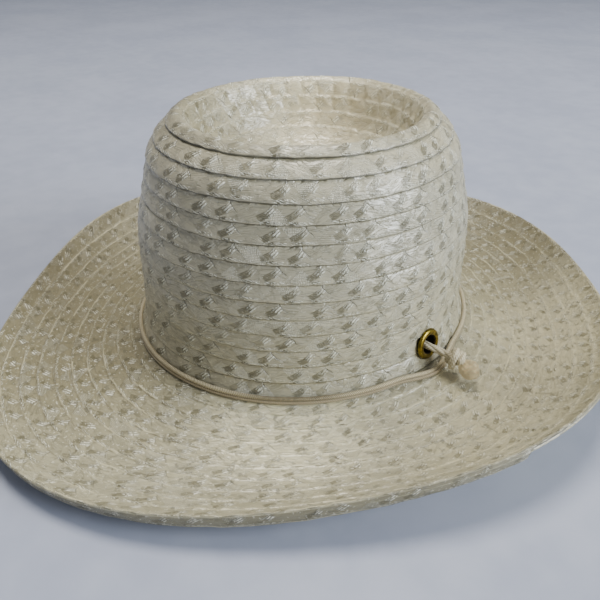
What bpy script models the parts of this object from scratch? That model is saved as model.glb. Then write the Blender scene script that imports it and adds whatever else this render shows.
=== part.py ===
"""Straw cowboy hat with a dished crown and a rolled brim, in metres.

The hat rests on a table at z = 0. Its long axis runs along Y, and its front faces -Y.
It is sewn from one long braid: each row of the crown and brim laps over the next row down or out.
A twin-cord band circles the crown's foot, and a chin cord runs between two eyelets in its sides.
Angles in plan are in degrees, counted from +X towards +Y.
"""

import math

import bmesh
import bpy
from mathutils import Matrix, Vector

# Straw wall, and the braid that it is sewn from
WALL = 0.0016
ROW_PITCH = 0.0083
ROW_STEP = 0.0006
CLEARANCE = 0.0003

# Crown, measured at its foot and from the table to its crest
CROWN_LENGTH = 0.1830
CROWN_WIDTH = 0.1710
HAT_HEIGHT = 0.1172
DISH_DEPTH = 0.0340

# Brim: its plan outline is an oval drawn in at its four diagonals
BRIM_LENGTH = 0.3532
BRIM_WIDTH = 0.3274
BRIM_DIAGONAL_DRAW = 0.0115
BRIM_ROWS = 10

# Brim heights: it dips from the crown's foot to a valley that rests on the table, and curls up to its edge
FOOT_RISE = 0.0055
VALLEY_SHARE = 0.42
REST_WIDTH = 0.0040
CURL_POWER = 2.5
EDGE_HEIGHT = 0.0187
SIDE_ROLL = 0.0066
BACK_LIFT = 0.0033
RIGHT_LIFT = 0.0034
DIAGONAL_DIP = 0.0014

# The braid's last stretch slides out below the edge, turned down, from the front to its cut end on the right
LIP_DROP = 0.0054
LIP_LEAST = 0.0005
LIP_LEAN = 0.12
LIP_START = -97.0
LIP_GROWTH = 50.0
TAIL_ANGLE = -13.0
TAIL_STEP = 1.2

# Band at the crown's foot, pushed out and laid on the brim below each eyelet
BAND_HEIGHT = 0.0046
BAND_THICKNESS = 0.0021
BAND_PUSH = 0.0062
BAND_TILT = 72.0
BAND_PUSH_HALF_ANGLE = 17.0

# Eyelets in the crown's two sides
EYELET_HEIGHT = 0.0187
EYELET_WIDTH = 0.0158
EYELET_HOLE = 0.0088
EYELET_TUBE_WALL = 0.0006
EYELET_DOME = 0.0016
EYELET_WASHER_WIDTH = 0.0140
EYELET_WASHER = 0.0007
EYELET_SIDES_OF_HAT = {"right": 1, "left": -1}

# Chin cord and the knots that stop its two ends
CORD_DIAMETER = 0.0035
CORD_POINTS = 80
KNOT_WIDTH = 0.0110
KNOT_LOBE = 0.10

# Mesh fineness, and the angle past which an edge is sharp
SHARP_ANGLE = 35.0
COLUMNS = 48
BAND_COLUMNS = 56
EYELET_SIDES = 20
KNOT_SIDES = 10
CURVE_STEPS = 12

# Crown sections from foot to crest: height as a share of the crown's rise,
# half length and half width as shares of those at the foot
CROWN_SECTIONS = [
    # height, along, across
    (0.000, 1.000, 1.000),
    (0.060, 0.978, 0.980),
    (0.125, 0.962, 0.965),
    (0.250, 0.954, 0.960),
    (0.380, 0.952, 0.963),
    (0.505, 0.946, 0.957),
    (0.620, 0.919, 0.931),
    (0.730, 0.884, 0.899),
    (0.805, 0.861, 0.877),
    (0.867, 0.834, 0.852),
    (0.922, 0.790, 0.807),
    (0.958, 0.744, 0.761),
    (0.989, 0.707, 0.723),
    (1.000, 0.680, 0.696),
]

# Dish sections from crest to middle: depth as a share of the dish's depth,
# half length and half width as shares of the crown's at its foot
DISH_SECTIONS = [
    # depth, along, across
    (0.050, 0.652, 0.668),
    (0.200, 0.624, 0.640),
    (0.450, 0.592, 0.607),
    (0.700, 0.545, 0.560),
    (0.880, 0.465, 0.478),
    (0.970, 0.355, 0.365),
    (1.000, 0.240, 0.247),
    (0.975, 0.120, 0.123),
    (0.960, 0.020, 0.020),
]

# Band section: height and thickness shares, up the crown's side and down over its two cords
BAND_SECTION = [
    # height, thickness
    (0.10, 0.00),
    (0.90, 0.00),
    (1.00, 0.50),
    (0.76, 1.00),
    (0.50, 0.72),
    (0.24, 1.00),
    (0.00, 0.50),
]

# Knot sections along its axis: station share, and reach as a share of half the knot's width
KNOT_SECTIONS = [
    # station, reach
    (0.00, 0.30),
    (0.03, 0.55),
    (0.12, 0.90),
    (0.26, 1.00),
    (0.40, 0.92),
    (0.50, 0.86),
    (0.58, 0.70),
    (0.66, 0.76),
    (0.80, 0.84),
    (0.93, 0.66),
    (1.00, 0.36),
]

# Right end of the chin cord, in metres: from the knot, in through the eyelet and down to the table
CORD_END_ROUTE = [
    # x, y, z
    (0.0926, 0.0029, 0.0158),
    (0.0893, 0.0012, 0.0172),
    (0.0855, -0.0005, 0.0183),
    (0.0818, -0.0012, 0.0187),
    (0.0784, -0.0006, 0.0179),
    (0.0764, 0.0024, 0.0151),
    (0.0757, 0.0072, 0.0107),
    (0.0755, 0.0130, 0.0062),
    (0.0752, 0.0195, 0.0030),
]

# The middle of the cord lies on the table inside the crown, in a turn and a half that widens as it goes
LAID_START = 20.0
LAID_END = 520.0
LAID_POINTS = 26
LAID_WIDTH_FIRST = 0.0743
LAID_WIDTH_LAST = 0.0797
LAID_LONGER = 0.0060

# Knot's axis at the right end, in metres: from the cord to the end of its tail
KNOT_ROUTE = [
    # x, y, z
    (0.0930, 0.0031, 0.0156),
    (0.0982, 0.0050, 0.0137),
    (0.1040, 0.0062, 0.0113),
    (0.1094, 0.0064, 0.0094),
]

# Colours are linear
MATERIALS = {
    # name: colour, roughness, metallic
    "crown_straw": ((0.68, 0.66, 0.58), 0.45, 0.0),
    "brim_straw": ((0.47, 0.42, 0.29), 0.50, 0.0),
    "band_cord": ((0.52, 0.44, 0.26), 0.60, 0.0),
    "antique_brass": ((0.23, 0.15, 0.04), 0.32, 1.0),
    "cord_cream": ((0.58, 0.48, 0.31), 0.65, 0.0),
}

# Heights and reaches that follow from the sizes above
VALLEY_TOP = WALL
FOOT_TOP = VALLEY_TOP + FOOT_RISE
CROWN_FOOT = FOOT_TOP + CLEARANCE
CROWN_RISE = HAT_HEIGHT - CROWN_FOOT


def clear_scene():
    for item in list(bpy.data.objects):
        bpy.data.objects.remove(item)


def material(name):
    colour, roughness, metallic = MATERIALS[name]
    made = bpy.data.materials.new(name)
    made.use_nodes = True
    shader = made.node_tree.nodes["Principled BSDF"]
    shader.inputs["Base Color"].default_value = (*colour, 1.0)
    shader.inputs["Roughness"].default_value = roughness
    shader.inputs["Metallic"].default_value = metallic
    return made


def smooth_curve(points, steps):
    """Points of a Catmull-Rom curve through the given points."""
    ends = [points[0] * 2 - points[1], *points, points[-1] * 2 - points[-2]]
    curve = []
    for a, b, c, d in zip(ends, ends[1:], ends[2:], ends[3:]):
        for step in range(steps):
            t = step / steps
            curve.append(
                ((b * 2) + (c - a) * t + (a * 2 - b * 5 + c * 4 - d) * t**2 + (b * 3 - a - c * 3 + d) * t**3) / 2
            )
    return [*curve, points[-1]]


def evenly_spaced(curve, count):
    """That many points along a polyline, the same distance apart."""
    lengths = [0.0]
    for a, b in zip(curve, curve[1:]):
        lengths.append(lengths[-1] + (b - a).length)
    spots = []
    piece = 0
    for index in range(count):
        goal = lengths[-1] * index / (count - 1)
        while piece < len(curve) - 2 and lengths[piece + 1] < goal:
            piece += 1
        share = (goal - lengths[piece]) / (lengths[piece + 1] - lengths[piece])
        spots.append(curve[piece].lerp(curve[piece + 1], share))
    return spots


def oval_reach(angle, half_length, half_width):
    """How far an oval reaches from its middle in the direction of an angle."""
    turn = math.radians(angle)
    return 1 / math.hypot(math.cos(turn) / half_width, math.sin(turn) / half_length)


def foot_reach(angle):
    return oval_reach(angle, CROWN_LENGTH / 2, CROWN_WIDTH / 2)


def brim_reach(angle):
    """The brim's plan outline: half its length and width on the axes, drawn in between them."""
    turn = math.radians(angle)
    mean = (BRIM_LENGTH + BRIM_WIDTH) / 4
    longer = (BRIM_LENGTH - BRIM_WIDTH) / 4
    return mean - longer * math.cos(2 * turn) - BRIM_DIAGONAL_DRAW * (1 - math.cos(4 * turn)) / 2


def polar(angle, reach, height):
    return Vector((reach * math.cos(math.radians(angle)), reach * math.sin(math.radians(angle)), height))


def solid_from_rings(name, rings, material_name, closed=True):
    """A solid whose surface runs from ring to ring, either back to the first or capped at both ends."""
    mesh = bmesh.new()
    made = [[mesh.verts.new(point) for point in ring] for ring in rings]
    pairs = list(zip(made, made[1:]))
    if closed:
        pairs.append((made[-1], made[0]))
    for first, second in pairs:
        for index, after in zip(range(len(first)), [*range(1, len(first)), 0]):
            mesh.faces.new((first[index], first[after], second[after], second[index]))
    if not closed:
        mesh.faces.new(list(reversed(made[0])))
        mesh.faces.new(made[-1])
    bmesh.ops.recalc_face_normals(mesh, faces=mesh.faces)
    data = bpy.data.meshes.new(name)
    mesh.to_mesh(data)
    mesh.free()
    data.shade_smooth()
    data.set_sharp_from_angle(angle=math.radians(SHARP_ANGLE))
    data.materials.append(material(material_name))
    solid = bpy.data.objects.new(name, data)
    bpy.context.scene.collection.objects.link(solid)
    return solid


def crown_line():
    """The crown's outer section without its braid rows: (half length, half width, height) from foot to middle."""
    points = [
        Vector((CROWN_LENGTH / 2 * along, CROWN_WIDTH / 2 * across, CROWN_FOOT + CROWN_RISE * height))
        for height, along, across in CROWN_SECTIONS
    ]
    points += [
        Vector((CROWN_LENGTH / 2 * along, CROWN_WIDTH / 2 * across, HAT_HEIGHT - DISH_DEPTH * depth))
        for depth, along, across in DISH_SECTIONS
    ]
    return smooth_curve(points, CURVE_STEPS)


def arc_lengths(line):
    """Length along the section, measured in the plane of its half length and height."""
    lengths = [0.0]
    for a, b in zip(line, line[1:]):
        lengths.append(lengths[-1] + math.hypot(b.x - a.x, b.z - a.z))
    return lengths


def at_length(line, lengths, goal):
    """The point of the section at that length along it, and the slope of its outward direction there."""
    piece = 0
    while piece < len(line) - 2 and lengths[piece + 1] < goal:
        piece += 1
    a, b = line[piece], line[piece + 1]
    share = (goal - lengths[piece]) / (lengths[piece + 1] - lengths[piece])
    run = math.hypot(b.x - a.x, b.z - a.z)
    outward = Vector(((b.z - a.z) / run, (b.z - a.z) / run, -(b.x - a.x) / run))
    return a.lerp(b, share), outward


def oval_ring(section_point, columns):
    half_length, half_width, height = section_point
    return [polar(angle, oval_reach(angle, half_length, half_width), height) for angle in columns]


def even_angles(count):
    return [360.0 * index / count for index in range(count)]


def make_crown():
    """One wall: up its plain inside from the middle of the dish to the foot, then back over its outer rows."""
    line = crown_line()
    lengths = arc_lengths(line)
    total = lengths[-1]
    crest = lengths[CURVE_STEPS * (len(CROWN_SECTIONS) - 1)]
    outside = []
    row_start = 0.0
    while row_start < total - ROW_PITCH / 2:
        if row_start < crest:
            lower, outward = at_length(line, lengths, row_start)
            outside.append(lower + outward * ROW_STEP)
        outside.append(at_length(line, lengths, min(row_start + ROW_PITCH, total))[0])
        row_start += ROW_PITCH
    outside[0].z = CROWN_FOOT
    inside = []
    inner_rings = round(total / (2 * ROW_PITCH))
    for index in range(inner_rings + 1):
        point, outward = at_length(line, lengths, total * (1 - index / inner_rings))
        inside.append(point - outward * WALL)
    inside[0] = outside[-1] - Vector((0, 0, WALL))
    inside[-1].z = CROWN_FOOT
    rings = [oval_ring(section_point, even_angles(COLUMNS)) for section_point in inside + outside]
    crown = solid_from_rings("crown", rings, "crown_straw", closed=False)
    for name, side in EYELET_SIDES_OF_HAT.items():
        cut_eyelet_hole(crown, name, side)


def brim_edge_height(angle):
    """Height of the edge's top: the sides are rolled up, the front is lowest."""
    turn = math.radians(angle)
    lifts = SIDE_ROLL * math.cos(2 * turn) + BACK_LIFT * math.sin(turn) + RIGHT_LIFT * math.cos(turn)
    return EDGE_HEIGHT + lifts + DIAGONAL_DIP * math.cos(4 * turn)


def brim_height(share, reach_span, edge_height):
    """Height of the brim's top, without braid rows, at a share of the way from the crown's foot to the edge."""
    flat = REST_WIDTH / 2 / reach_span
    if share < VALLEY_SHARE - flat:
        return VALLEY_TOP + FOOT_RISE * (1 - share / (VALLEY_SHARE - flat)) ** 2
    if share <= VALLEY_SHARE + flat:
        return VALLEY_TOP
    rise = (share - VALLEY_SHARE - flat) / (1 - VALLEY_SHARE - flat)
    return VALLEY_TOP + (edge_height - VALLEY_TOP) * rise**CURL_POWER


def lip_drop(angle):
    """Drop of the turned-down braid below the edge: it grows from its start and stops at its cut end."""
    from_start = (angle - LIP_START) % 360.0
    if from_start > TAIL_ANGLE - LIP_START:
        return LIP_LEAST
    grown = min(from_start / LIP_GROWTH, 1.0)
    return LIP_LEAST + (LIP_DROP - LIP_LEAST) * grown**2 * (3 - 2 * grown)


def brim_section(angle):
    """The brim's closed section at an angle: points (reach, height) up its inner edge, out over its top and back."""
    foot = foot_reach(angle)
    edge = brim_reach(angle)
    span = edge - foot
    edge_height = brim_edge_height(angle)

    def top(share):
        return brim_height(share, span, edge_height)

    section = [(foot - WALL, FOOT_TOP - WALL), (foot - WALL, FOOT_TOP), (foot, FOOT_TOP)]
    for row in range(BRIM_ROWS):
        start = row / BRIM_ROWS
        end = (row + 1) / BRIM_ROWS
        if row:
            section.append((foot + span * start, top(start)))
        section.append((foot + span * end, top(end) + ROW_STEP))
    drop = lip_drop(angle)
    lean = LIP_LEAN * drop
    section.append((edge + ROW_STEP / 2, edge_height))
    section.append((edge - lean, edge_height - WALL - drop))
    section.append((edge - lean - WALL, edge_height - WALL - drop))
    section.append((edge - WALL, edge_height - WALL))
    flat = REST_WIDTH / 2 / span
    beyond = [1 - (1 - VALLEY_SHARE - flat) * part for part in (0.25, 0.5, 0.75, 1.0)]
    before = [(VALLEY_SHARE - flat) * part for part in (1.0, 0.66, 0.33, 0.0)]
    for share in beyond + before:
        section.append((foot + span * share, top(share) - WALL))
    return section


def make_brim():
    tail_sides = [(TAIL_ANGLE - TAIL_STEP / 2) % 360.0, (TAIL_ANGLE + TAIL_STEP / 2) % 360.0]
    angles = sorted(even_angles(COLUMNS) + tail_sides)
    columns = [[polar(angle, reach, height) for reach, height in brim_section(angle)] for angle in angles]
    rings = [list(ring) for ring in zip(*columns)]
    return solid_from_rings("brim", rings, "brim_straw")


def brim_surface(angle, reach):
    """Height of the brim's top, braid rows included, at a reach from the middle."""
    foot = foot_reach(angle)
    span = brim_reach(angle) - foot
    share = max((reach - foot) / span, 0.0)
    return brim_height(share, span, brim_edge_height(angle)) + ROW_STEP * (share * BRIM_ROWS % 1.0)


def band_push_share(angle):
    """How far the band is pushed out: 1 at an eyelet, 0 beyond the pushed stretch."""
    from_eyelet = min(abs((angle + 90.0) % 180.0 - 90.0) / BAND_PUSH_HALF_ANGLE, 1.0)
    return math.cos(math.pi / 2 * from_eyelet) ** 2


def make_band():
    """Twin-cord band round the crown's flared foot. Its outer face turns up where it lies on the brim."""
    line = crown_line()
    lengths = arc_lengths(line)
    walls = [at_length(line, lengths, BAND_HEIGHT * height)[0] for height, _ in BAND_SECTION]
    columns = []
    for angle in even_angles(BAND_COLUMNS):
        pushed = band_push_share(angle)
        tilt = math.radians(BAND_TILT) * pushed
        foot = foot_reach(angle)
        section = []
        for (height, thickness), wall in zip(BAND_SECTION, walls):
            flare = (oval_reach(angle, wall.x, wall.y) - foot) * (1 - pushed)
            up = BAND_HEIGHT * height
            out = BAND_THICKNESS * thickness
            reach = foot + ROW_STEP + CLEARANCE + BAND_PUSH * pushed + flare
            section.append((reach + out * math.cos(tilt) - up * math.sin(tilt),
                            out * math.sin(tilt) + up * math.cos(tilt)))
        lift = max(brim_surface(angle, reach) + CLEARANCE - height for reach, height in section)
        columns.append([polar(angle, reach, height + lift) for reach, height in section])
    return solid_from_rings("hat_band", [list(ring) for ring in zip(*columns)], "band_cord")


def eyelet_frame(side):
    """Where an eyelet sits: its middle on the crown's plain surface, and its axis out of the wall."""
    line = crown_line()
    lengths = arc_lengths(line)
    goal = 0.0
    while at_length(line, lengths, goal)[0].z < EYELET_HEIGHT:
        goal += CLEARANCE
    point, _ = at_length(line, lengths, goal)
    below, _ = at_length(line, lengths, goal - EYELET_WIDTH / 2)
    above, _ = at_length(line, lengths, goal + EYELET_WIDTH / 2)
    axis = Vector((above.z - below.z, 0, below.y - above.y)).normalized()
    middle = Vector((point.y, 0, point.z))
    seat_front = max((Vector((spot.y, 0, spot.z)) - middle).dot(axis) for spot in (below, point, above))
    sagitta = (EYELET_WASHER_WIDTH / 2) ** 2 / (2 * point.y)
    middle.x *= side
    axis.x *= side
    return middle, axis, seat_front + ROW_STEP + CLEARANCE, WALL + sagitta + CLEARANCE


def turned_about(middle, axis, profile, sides):
    """Rings of a profile of (distance along the axis, radius) turned about it."""
    turn = Vector((0, 0, 1)).rotation_difference(axis).to_matrix().to_4x4()
    place = Matrix.Translation(middle) @ turn
    rings = []
    for distance, radius in profile:
        rings.append(
            [place @ Vector((radius * math.cos(a), radius * math.sin(a), distance)) for a in map(math.radians, sides)]
        )
    return rings


def make_eyelet(name, side):
    """Domed flange outside, tube through the wall and flat washer inside, as one turned piece."""
    middle, axis, front, back = eyelet_frame(side)
    hole = EYELET_HOLE / 2
    tube = hole + EYELET_TUBE_WALL
    rim = EYELET_WIDTH / 2
    washer = EYELET_WASHER_WIDTH / 2
    profile = [
        # along the axis, radius
        (-back - EYELET_WASHER, hole),
        (-back - EYELET_WASHER, washer),
        (-back, washer),
        (-back, tube),
        (front, tube),
        (front, rim),
        (front + EYELET_DOME * 0.45, rim * 0.985),
        (front + EYELET_DOME * 0.85, rim * 0.90),
        (front + EYELET_DOME, (rim + tube) / 2),
        (front + EYELET_DOME * 0.85, hole * 1.20),
        (front + EYELET_DOME * 0.35, hole * 1.03),
    ]
    return solid_from_rings(name, turned_about(middle, axis, profile, even_angles(EYELET_SIDES)), "antique_brass")


def cut_eyelet_hole(crown, name, side):
    """The hole through the straw clears the eyelet's tube."""
    middle, axis, front, back = eyelet_frame(side)
    radius = EYELET_HOLE / 2 + EYELET_TUBE_WALL + CLEARANCE
    profile = [(-2 * back - WALL, radius), (2 * front + WALL, radius)]
    rings = turned_about(middle, axis, profile, even_angles(EYELET_SIDES))
    cutter = solid_from_rings(f"eyelet_cutter_{name}", rings, "crown_straw", closed=False)
    cutter.hide_render = True
    cutter.display_type = "WIRE"
    cut = crown.modifiers.new("eyelet_hole", "BOOLEAN")
    cut.operation = "DIFFERENCE"
    cut.object = cutter


def chin_cord_points():
    """Evenly spaced points from the right knot, round the inside of the crown, to the left knot."""
    right_end = [Vector(point) for point in CORD_END_ROUTE]
    laid = []
    for index in range(LAID_POINTS):
        share = index / (LAID_POINTS - 1)
        angle = LAID_START + (LAID_END - LAID_START) * share
        half_width = LAID_WIDTH_FIRST + (LAID_WIDTH_LAST - LAID_WIDTH_FIRST) * share
        reach = oval_reach(angle, half_width + LAID_LONGER, half_width)
        laid.append(polar(angle, reach, CORD_DIAMETER / 2 + CLEARANCE / 2))
    left_end = [Vector((-point.x, point.y, point.z)) for point in reversed(right_end)]
    return evenly_spaced(smooth_curve(right_end + laid + left_end, CURVE_STEPS), CORD_POINTS)


def make_chin_cord():
    points = chin_cord_points()
    data = bpy.data.curves.new("chin_cord", "CURVE")
    data.dimensions = "3D"
    data.bevel_depth = CORD_DIAMETER / 2
    data.bevel_resolution = 2
    data.use_fill_caps = True
    spline = data.splines.new("POLY")
    spline.points.add(len(points) - 1)
    for spot, point in zip(spline.points, points):
        spot.co = (*point, 1.0)
    data.materials.append(material("cord_cream"))
    made = bpy.data.objects.new("chin_cord", data)
    bpy.context.scene.collection.objects.link(made)
    return made


def make_knot(name, side):
    """An overhand knot with its thick frayed tail: lobed sections along a bent axis."""
    axis = smooth_curve([Vector((side * x, y, z)) for x, y, z in KNOT_ROUTE], CURVE_STEPS)
    spots = evenly_spaced(axis, 2 * CURVE_STEPS + 1)
    rings = []
    for station, reach in KNOT_SECTIONS:
        place = station * (len(spots) - 1)
        index = min(int(place), len(spots) - 2)
        centre = spots[index].lerp(spots[index + 1], place - index)
        along = (spots[index + 1] - spots[index]).normalized()
        first = along.cross(Vector((0, 0, 1))).normalized()
        second = along.cross(first)
        ring = []
        for angle in map(math.radians, even_angles(KNOT_SIDES)):
            lobe = 1 + KNOT_LOBE * math.cos(3 * angle + 2 * math.pi * station) * (reach > 0.5)
            radius = KNOT_WIDTH / 2 * reach * lobe
            ring.append(centre + (first * math.cos(angle) + second * math.sin(angle)) * radius)
        rings.append(ring)
    return solid_from_rings(name, rings, "cord_cream", closed=False)


def main():
    clear_scene()
    make_crown()
    make_brim()
    make_band()
    for name, side in EYELET_SIDES_OF_HAT.items():
        make_eyelet(f"eyelet_{name}", side)
        make_knot(f"knot_{name}", side)
    make_chin_cord()


main()
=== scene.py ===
"""Looks of the straw cowboy hat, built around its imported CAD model, in metres.

The crown and brim are sewn from one braid of glossy ribbons. Each of its rows has a lapped, wavy lower edge
and pairs of raised knuckles, where a ribbon folds over its neighbour. The same chart of the braid shapes
the meshes and the materials.
"""

import math

import bmesh
import bpy
import numpy as np
from mathutils import Matrix, Vector


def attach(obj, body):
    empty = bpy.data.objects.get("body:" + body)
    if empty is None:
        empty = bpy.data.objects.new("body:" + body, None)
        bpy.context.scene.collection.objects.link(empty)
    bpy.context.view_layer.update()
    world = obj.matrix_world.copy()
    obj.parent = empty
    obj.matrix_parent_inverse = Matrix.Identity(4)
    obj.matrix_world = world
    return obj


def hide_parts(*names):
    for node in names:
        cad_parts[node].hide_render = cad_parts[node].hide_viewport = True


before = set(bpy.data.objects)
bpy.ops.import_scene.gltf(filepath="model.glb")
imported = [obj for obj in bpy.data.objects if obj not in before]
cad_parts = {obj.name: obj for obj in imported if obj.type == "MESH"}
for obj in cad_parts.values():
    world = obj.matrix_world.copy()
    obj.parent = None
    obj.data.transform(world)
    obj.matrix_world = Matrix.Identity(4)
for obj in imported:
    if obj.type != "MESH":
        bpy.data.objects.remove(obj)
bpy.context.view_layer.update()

# Sizes of the CAD model that the surfaces below follow
WALL = 0.0016
ROW_STEP = 0.0006
CLEARANCE = 0.0003
CROWN_LENGTH = 0.1830
CROWN_WIDTH = 0.1710
HAT_HEIGHT = 0.1172
DISH_DEPTH = 0.0340
BRIM_LENGTH = 0.3532
BRIM_WIDTH = 0.3274
BRIM_DIAGONAL_DRAW = 0.0115
BRIM_ROWS = 10
FOOT_RISE = 0.0055
VALLEY_SHARE = 0.42
REST_WIDTH = 0.0040
CURL_POWER = 2.5
EDGE_HEIGHT = 0.0187
SIDE_ROLL = 0.0066
BACK_LIFT = 0.0033
RIGHT_LIFT = 0.0034
DIAGONAL_DIP = 0.0014
LIP_DROP = 0.0054
LIP_LEAST = 0.0005
LIP_LEAN = 0.12
LIP_START = -97.0
LIP_GROWTH = 50.0
TAIL_ANGLE = -13.0
BAND_HEIGHT = 0.0046
BAND_THICKNESS = 0.0021
BAND_PUSH = 0.0062
BAND_TILT = 72.0
BAND_PUSH_HALF_ANGLE = 17.0
BAND_SOIL_SPOT = (0.0580, -0.0640)
BAND_SOIL_REACH = 0.034
BAND_UPPER_RADIUS = 0.00105
BAND_LOWER_RADIUS = 0.00080
EYELET_HEIGHT = 0.0187
EYELET_WIDTH = 0.0158
EYELET_HOLE = 0.0088
EYELET_TUBE_WALL = 0.0006
EYELET_DOME = 0.0016
EYELET_WASHER_WIDTH = 0.0140
EYELET_WASHER = 0.0007
SIDES_OF_HAT = {"right": 1, "left": -1}
CORD_DIAMETER = 0.0035
VALLEY_TOP = WALL
FOOT_TOP = VALLEY_TOP + FOOT_RISE
CROWN_FOOT = FOOT_TOP + CLEARANCE
CROWN_RISE = HAT_HEIGHT - CROWN_FOOT
CURVE_STEPS = 12

CROWN_SECTIONS = [
    # height, along, across, as shares of the crown's rise, half length and half width
    (0.000, 1.000, 1.000),
    (0.060, 0.978, 0.980),
    (0.125, 0.962, 0.965),
    (0.250, 0.954, 0.960),
    (0.380, 0.952, 0.963),
    (0.505, 0.946, 0.957),
    (0.620, 0.919, 0.931),
    (0.730, 0.884, 0.899),
    (0.805, 0.861, 0.877),
    (0.867, 0.834, 0.852),
    (0.922, 0.790, 0.807),
    (0.958, 0.744, 0.761),
    (0.989, 0.707, 0.723),
    (1.000, 0.680, 0.696),
]
DISH_SECTIONS = [
    # depth, along, across, as shares of the dish's depth and of the crown's half length and half width
    (0.050, 0.652, 0.668),
    (0.200, 0.624, 0.640),
    (0.450, 0.592, 0.607),
    (0.700, 0.545, 0.560),
    (0.880, 0.465, 0.478),
    (0.970, 0.355, 0.365),
    (1.000, 0.240, 0.247),
    (0.975, 0.120, 0.123),
    (0.960, 0.020, 0.020),
]
CORD_END_ROUTE = [
    # x, y, z
    (0.0926, 0.0029, 0.0158),
    (0.0893, 0.0012, 0.0172),
    (0.0855, -0.0005, 0.0183),
    (0.0818, -0.0012, 0.0187),
    (0.0784, -0.0006, 0.0179),
    (0.0764, 0.0024, 0.0151),
    (0.0757, 0.0072, 0.0107),
    (0.0755, 0.0130, 0.0062),
    (0.0752, 0.0195, 0.0030),
]
LAID_START = 20.0
LAID_END = 520.0
LAID_POINTS = 26
LAID_WIDTH_FIRST = 0.0743
LAID_WIDTH_LAST = 0.0797
LAID_LONGER = 0.0060
KNOT_ROUTE = [
    # x, y, z
    (0.0930, 0.0031, 0.0156),
    (0.0982, 0.0050, 0.0137),
    (0.1040, 0.0062, 0.0113),
    (0.1094, 0.0064, 0.0094),
]
KNOT_TURNS = 1.6
KNOT_TURN_START = 40.0
KNOT_TURN_RADIUS = 0.0038
KNOT_LEAD = [
    # along the knot's axis, across, over
    (-0.0060, 0.0000, 0.0000),
    (-0.0036, 0.0004, 0.0003),
    (-0.0008, 0.0009, 0.0002),
    (0.0020, 0.0013, 0.0006),
]
KNOT_WAY_OUT = [
    # along the knot's axis, across, over
    (-0.0018, -0.0014, -0.0010),
    (0.0012, -0.0010, -0.0002),
    (0.0046, -0.0006, 0.0000),
    (0.0075, -0.0002, 0.0000),
]
TAIL_SECTIONS = [
    # station, reach
    (0.00, 0.30),
    (0.10, 0.62),
    (0.30, 0.86),
    (0.55, 0.98),
    (0.78, 0.86),
    (0.93, 0.58),
    (1.00, 0.25),
]
TAIL_LENGTH = 0.0100
TAIL_WIDTH = 0.0092
TAIL_SIDES = 28
TAIL_HAIRS = 420
HAIR_RADIUS = 0.00011
CORD_LAY = 0.030

# The braid's chart: a pair of knuckles in every period, at the period's start and this far after it
PERIOD = 0.0288
PAIR_GAP = 0.0106
RIBBONS = 3
BRAID_WIDTH = 0.0083
KNUCKLE_ACROSS = 0.0043

# Lower edges of the crown's rows, as lengths up its section, and the angle of a first knuckle in each row
CROWN_ROWS = [
    # lower edge, first knuckle
    (0.0000, -64.9),
    (0.0094, -66.3),
    (0.0177, -62.8),
    (0.0260, -57.2),
    (0.0343, -50.7),
    (0.0426, -60.4),
    (0.0509, -48.7),
    (0.0592, -61.2),
    (0.0675, -53.9),
    (0.0759, -53.9),
    (0.0843, -55.5),
    (0.0929, -72.1),
    (0.1024, -62.8),
]
TIP_START = 0.1119
TIP_ROW_DRIFT = 8.6
BRIM_FIRST_PHASE = -64.6
BRIM_ROW_DRIFT = -7.4

# Profile of one lapped row of braid: distance from its lower edge, and distance out of the plain surface
ROW_PROFILE = [
    # across, out
    (0.00035, 0.00012),
    (-0.00020, 0.00022),
    (-0.00046, 0.00052),
    (-0.00030, 0.00092),
    (0.00020, 0.00108),
    (0.00125, 0.00100),
    (0.00265, 0.00088),
    (0.00405, 0.00074),
    (0.00545, 0.00058),
    (0.00695, 0.00036),
]
BRIM_PROFILE = [
    # across, out
    (0.00000, 0.00020),
    (0.00016, 0.00040),
    (0.00048, 0.00056),
    (0.00095, 0.00058),
    (0.00160, 0.00052),
    (0.00265, 0.00046),
    (0.00405, 0.00040),
    (0.00545, 0.00032),
    (0.00695, 0.00024),
]
ROW_WAVE = 0.00026
LAP = 0.003
PLEAT_RISE = 0.0012
PLEAT_DEPTH = 0.022
PLEAT_LEAN = 0.030
KNUCKLE_RISE = 0.00042
FACET_RELIEF = 0.00007
CROWN_UNEVENNESS = 0.0004
BRIM_UNEVENNESS = 0.0006

# Places in plan where painted shade darkens and tans the straw, where painted light makes it paler,
# and where the knuckles' shaded facets fade: centre, reach, strength
CROWN_PAINTED_SHADE = [((-0.036, -0.036), 0.044, 0.60)]
CROWN_PAINTED_LIGHT = [((-0.036, 0.040), 0.040, 0.35)]
CROWN_SMOOTH = [((-0.012, 0.016), 0.064, 0.75)]
BRIM_PAINTED_SHADE = [((-0.078, -0.098), 0.135, 0.90), ((0.022, 0.150), 0.100, 0.90), ((0.075, 0.080), 0.035, 0.40)]
BRIM_PAINTED_LIGHT = [((0.063, -0.074), 0.050, 0.90), ((0.120, 0.075), 0.060, 0.45), ((0.129, -0.017), 0.050, 0.25)]

CROWN_COLUMNS = 560
TIP_COLUMNS = 400
BRIM_COLUMNS = 700
INSIDE_RINGS = 28
INSIDE_TWIST = 11.0

# Camera, placed where the photograph was taken from
CAMERA_SPOT = (0.2211, -0.2214, 0.2004)
CAMERA_ACROSS_FLOOR = (-0.7123, 0.7018)
CAMERA_PITCH = 31.75
CAMERA_ROLL = -0.185
CAMERA_LENS = 38.44
SENSOR_WIDTH = 36.0


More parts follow.
